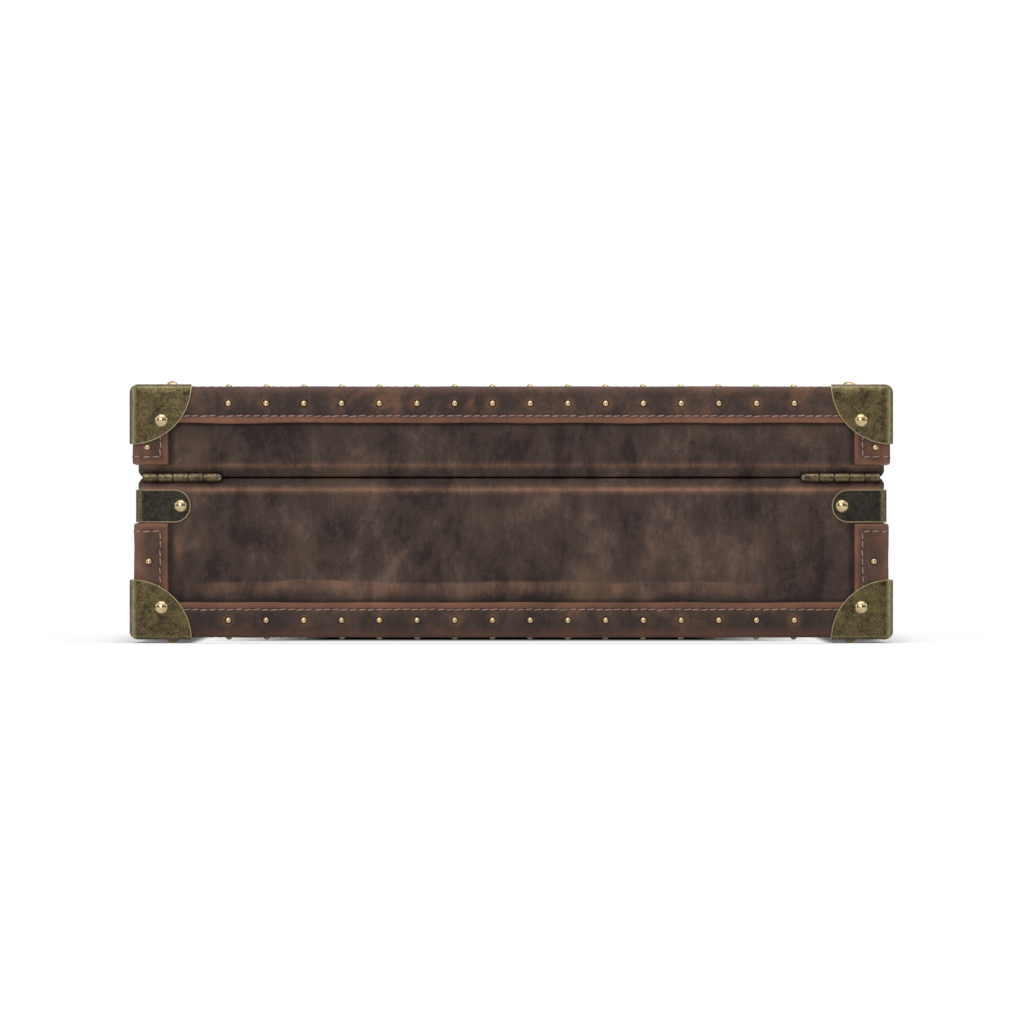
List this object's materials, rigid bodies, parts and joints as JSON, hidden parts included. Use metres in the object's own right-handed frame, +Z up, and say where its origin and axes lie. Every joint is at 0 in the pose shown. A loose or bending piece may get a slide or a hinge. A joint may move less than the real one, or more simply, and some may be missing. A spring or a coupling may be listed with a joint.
{
  "type": "watch display case",
  "caption": "Leather-covered travel case with brass corners, a hinged lid, sliding latches, a handle and lined compartments with watch cushions.",
  "frame": {"origin": "centre of the bounding box in plan, on the surface that the case stands on", "axes": "+Z up, +X along the case, -Y towards the front with its latches and handle, +Y towards the hinges"},
  "size_m": [0.381, 0.2694, 0.1309],
  "materials": {
    "cover_leather": "mottled pull-up leather",
    "binding_leather": "burnished leather",
    "antique_brass": "antique, mottled",
    "polished_brass": "polished",
    "dark_bronze": "blackened",
    "plywood": "sanded",
    "suede_lining": "brushed suede cloth",
    "suede_cushion": "brushed suede cloth over foam"
  },
  "bodies": {
    "base": {"base_shell": "plywood", "base_cover": "cover_leather", "base_binding": "binding_leather", "base_corner_strips": "binding_leather", "base_nails": "polished_brass", "base_bracket_rear_right": "antique_brass", "base_bracket_rear_left": "antique_brass", "base_bracket_front_right": "antique_brass", "base_bracket_front_left": "antique_brass", "base_bracket_rivets": "polished_brass", "standing_rivets": "polished_brass", "edge_clamps": "dark_bronze", "clamp_rivets": "polished_brass", "base_lining": "suede_lining", "row_dividers": "suede_lining", "column_dividers": "suede_lining", "base_hinge_leaf_right": "antique_brass", "base_hinge_leaf_left": "antique_brass", "hinge_pins": "antique_brass", "base_hinge_screws": "antique_brass", "lock_case_right": "antique_brass", "lock_case_left": "antique_brass", "front_rivets": "polished_brass", "handle_mounts": "antique_brass", "handle_pins": "polished_brass"},
    "lid": {"lid_shell": "plywood", "lid_cover": "cover_leather", "lid_binding": "binding_leather", "lid_corner_strips": "binding_leather", "lid_nails": "polished_brass", "lid_bracket_rear_right": "antique_brass", "lid_bracket_rear_left": "antique_brass", "lid_bracket_front_right": "antique_brass", "lid_bracket_front_left": "antique_brass", "lid_bracket_rivets": "polished_brass", "lid_lining": "suede_lining", "lid_lining_board": "suede_lining", "lid_hinge_leaf_right": "antique_brass", "lid_hinge_leaf_left": "antique_brass", "lid_hinge_screws": "antique_brass", "keeper_right": "antique_brass", "keeper_left": "antique_brass", "keeper_rivets": "polished_brass"},
    "bolt_right": {"bolt_right": "polished_brass"},
    "bolt_left": {"bolt_left": "polished_brass"},
    "handle": {"handle_bail": "antique_brass", "handle_grip": "binding_leather"},
    "cushion_1": {"cushion_1": "suede_cushion"},
    "cushion_2": {"cushion_2": "suede_cushion"},
    "cushion_3": {"cushion_3": "suede_cushion"},
    "cushion_4": {"cushion_4": "suede_cushion"},
    "cushion_5": {"cushion_5": "suede_cushion"},
    "cushion_6": {"cushion_6": "suede_cushion"},
    "cushion_7": {"cushion_7": "suede_cushion"},
    "cushion_8": {"cushion_8": "suede_cushion"},
    "cushion_9": {"cushion_9": "suede_cushion"},
    "cushion_10": {"cushion_10": "suede_cushion"},
    "cushion_11": {"cushion_11": "suede_cushion"},
    "cushion_12": {"cushion_12": "suede_cushion"}
  },
  "joints": [
    {"name": "lid_hinge", "type": "hinge", "parent": "base", "child": "lid", "pos_m": [0, 0.12815, 0.0826], "axis": [-1, 0, 0], "range_deg": [0, 100]},
    {"name": "bolt_right_slide", "type": "slide", "parent": "base", "child": "bolt_right", "axis": [-1, 0, 0], "range_m": [0, 0.006]},
    {"name": "bolt_left_slide", "type": "slide", "parent": "base", "child": "bolt_left", "axis": [1, 0, 0], "range_m": [0, 0.006]},
    {"name": "handle_swing", "type": "hinge", "parent": "base", "child": "handle", "pos_m": [0, -0.12625, 0.0598], "axis": [-1, 0, 0], "range_deg": [0, 180]},
    {"name": "cushion_1_lift", "type": "slide", "parent": "base", "child": "cushion_1", "axis": [0, 0, 1], "range_m": [0, 0.044]},
    {"name": "cushion_2_lift", "type": "slide", "parent": "base", "child": "cushion_2", "axis": [0, 0, 1], "range_m": [0, 0.044]},
    {"name": "cushion_3_lift", "type": "slide", "parent": "base", "child": "cushion_3", "axis": [0, 0, 1], "range_m": [0, 0.044]},
    {"name": "cushion_4_lift", "type": "slide", "parent": "base", "child": "cushion_4", "axis": [0, 0, 1], "range_m": [0, 0.044]},
    {"name": "cushion_5_lift", "type": "slide", "parent": "base", "child": "cushion_5", "axis": [0, 0, 1], "range_m": [0, 0.044]},
    {"name": "cushion_6_lift", "type": "slide", "parent": "base", "child": "cushion_6", "axis": [0, 0, 1], "range_m": [0, 0.044]},
    {"name": "cushion_7_lift", "type": "slide", "parent": "base", "child": "cushion_7", "axis": [0, 0, 1], "range_m": [0, 0.044]},
    {"name": "cushion_8_lift", "type": "slide", "parent": "base", "child": "cushion_8", "axis": [0, 0, 1], "range_m": [0, 0.044]},
    {"name": "cushion_9_lift", "type": "slide", "parent": "base", "child": "cushion_9", "axis": [0, 0, 1], "range_m": [0, 0.044]},
    {"name": "cushion_10_lift", "type": "slide", "parent": "base", "child": "cushion_10", "axis": [0, 0, 1], "range_m": [0, 0.044]},
    {"name": "cushion_11_lift", "type": "slide", "parent": "base", "child": "cushion_11", "axis": [0, 0, 1], "range_m": [0, 0.044]},
    {"name": "cushion_12_lift", "type": "slide", "parent": "base", "child": "cushion_12", "axis": [0, 0, 1], "range_m": [0, 0.044]}
  ]
}
